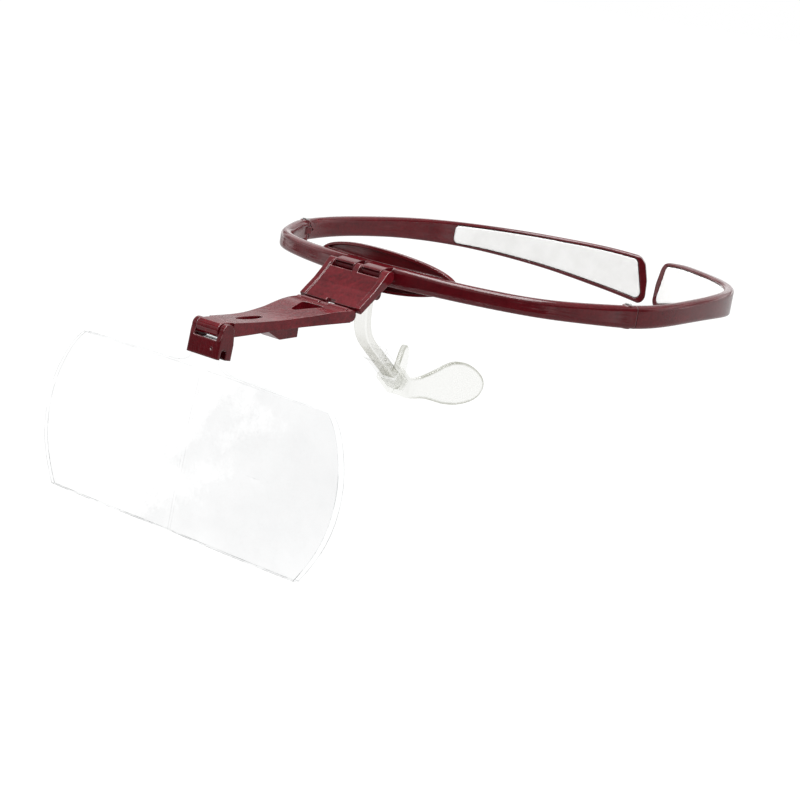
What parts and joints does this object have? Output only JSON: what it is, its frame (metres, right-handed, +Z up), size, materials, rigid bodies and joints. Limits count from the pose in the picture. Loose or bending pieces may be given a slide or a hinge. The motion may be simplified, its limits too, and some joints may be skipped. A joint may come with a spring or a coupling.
{
  "type": "head visor magnifier",
  "caption": "Head-worn visor magnifier: spectacle-style headband with hinged temples, a folding arm that carries a wide clear lens, and an adjustable nose piece.",
  "frame": {"origin": "middle of the brow pad's rear face, the place that touches the forehead", "axes": "+Z up as worn, +Y backwards to the temple tips (the wearer looks along -Y), +X to the wearer's left"},
  "size_m": [0.1604, 0.271, 0.093],
  "materials": {
    "band_plastic": "high gloss moulded plastic",
    "temple_plastic": "high gloss moulded plastic",
    "bracket_plastic": "high gloss moulded plastic",
    "clip_plastic": "high gloss moulded plastic",
    "pin_steel": "plain drawn rod",
    "screw_steel": "plain",
    "temple_pad_soft": "fine matt grain",
    "brow_pad_soft": "soft matt foam rubber",
    "lens_clear": "polished clear acrylic",
    "stem_clear": "clear moulded plastic",
    "nose_pad_soft": "milky translucent silicone"
  },
  "bodies": {
    "headband": {"front_band": "band_plastic", "brow_plate": "band_plastic", "brow_pad": "brow_pad_soft", "left_hinge_screw": "screw_steel", "right_hinge_screw": "screw_steel", "link_pin": "pin_steel", "stem_pin": "pin_steel"},
    "left_temple_body": {"left_temple": "temple_plastic", "left_temple_pad": "temple_pad_soft"},
    "right_temple_body": {"right_temple": "temple_plastic", "right_temple_pad": "temple_pad_soft"},
    "link": {"lens_link": "bracket_plastic"},
    "arm": {"lens_arm": "bracket_plastic", "elbow_pin": "pin_steel"},
    "clip": {"lens_clip": "clip_plastic", "clip_pin": "pin_steel"},
    "lens": {"lens_plate": "lens_clear"},
    "stem": {"nose_stem": "stem_clear"},
    "nosepiece": {"nose_socket": "stem_clear", "nose_pad": "nose_pad_soft"}
  },
  "joints": [
    {"name": "left_temple_hinge", "type": "hinge", "parent": "headband", "child": "left_temple_body", "pos_m": [0.0745, 0.0429, 0], "axis": [0, 0, 1], "range_deg": [0, 40]},
    {"name": "right_temple_hinge", "type": "hinge", "parent": "headband", "child": "right_temple_body", "pos_m": [-0.0745, 0.0429, 0], "axis": [0, 0, 1], "range_deg": [-40, 0]},
    {"name": "link_hinge", "type": "hinge", "parent": "headband", "child": "link", "pos_m": [0, -0.0112, 0.0004], "axis": [1, 0, 0], "range_deg": [-60, 10]},
    {"name": "elbow_hinge", "type": "hinge", "parent": "link", "child": "arm", "pos_m": [0, -0.0267, -0.0128], "axis": [1, 0, 0], "range_deg": [-80, 20]},
    {"name": "clip_hinge", "type": "hinge", "parent": "arm", "child": "clip", "pos_m": [0, -0.0802, -0.0183], "axis": [1, 0, 0], "range_deg": [-100, 8]},
    {"name": "lens_slide", "type": "slide", "parent": "clip", "child": "lens", "axis": [0, -0.0863, -0.9963], "range_m": [0, 0.012]},
    {"name": "nose_stem_hinge", "type": "hinge", "parent": "headband", "child": "stem", "pos_m": [0, -0.006, -0.0074], "axis": [1, 0, 0], "range_deg": [-40, 10]},
    {"name": "nose_socket_slide", "type": "slide", "parent": "stem", "child": "nosepiece", "axis": [0, 0.8039, -0.5948], "range_m": [0, 0.006]}
  ]
}
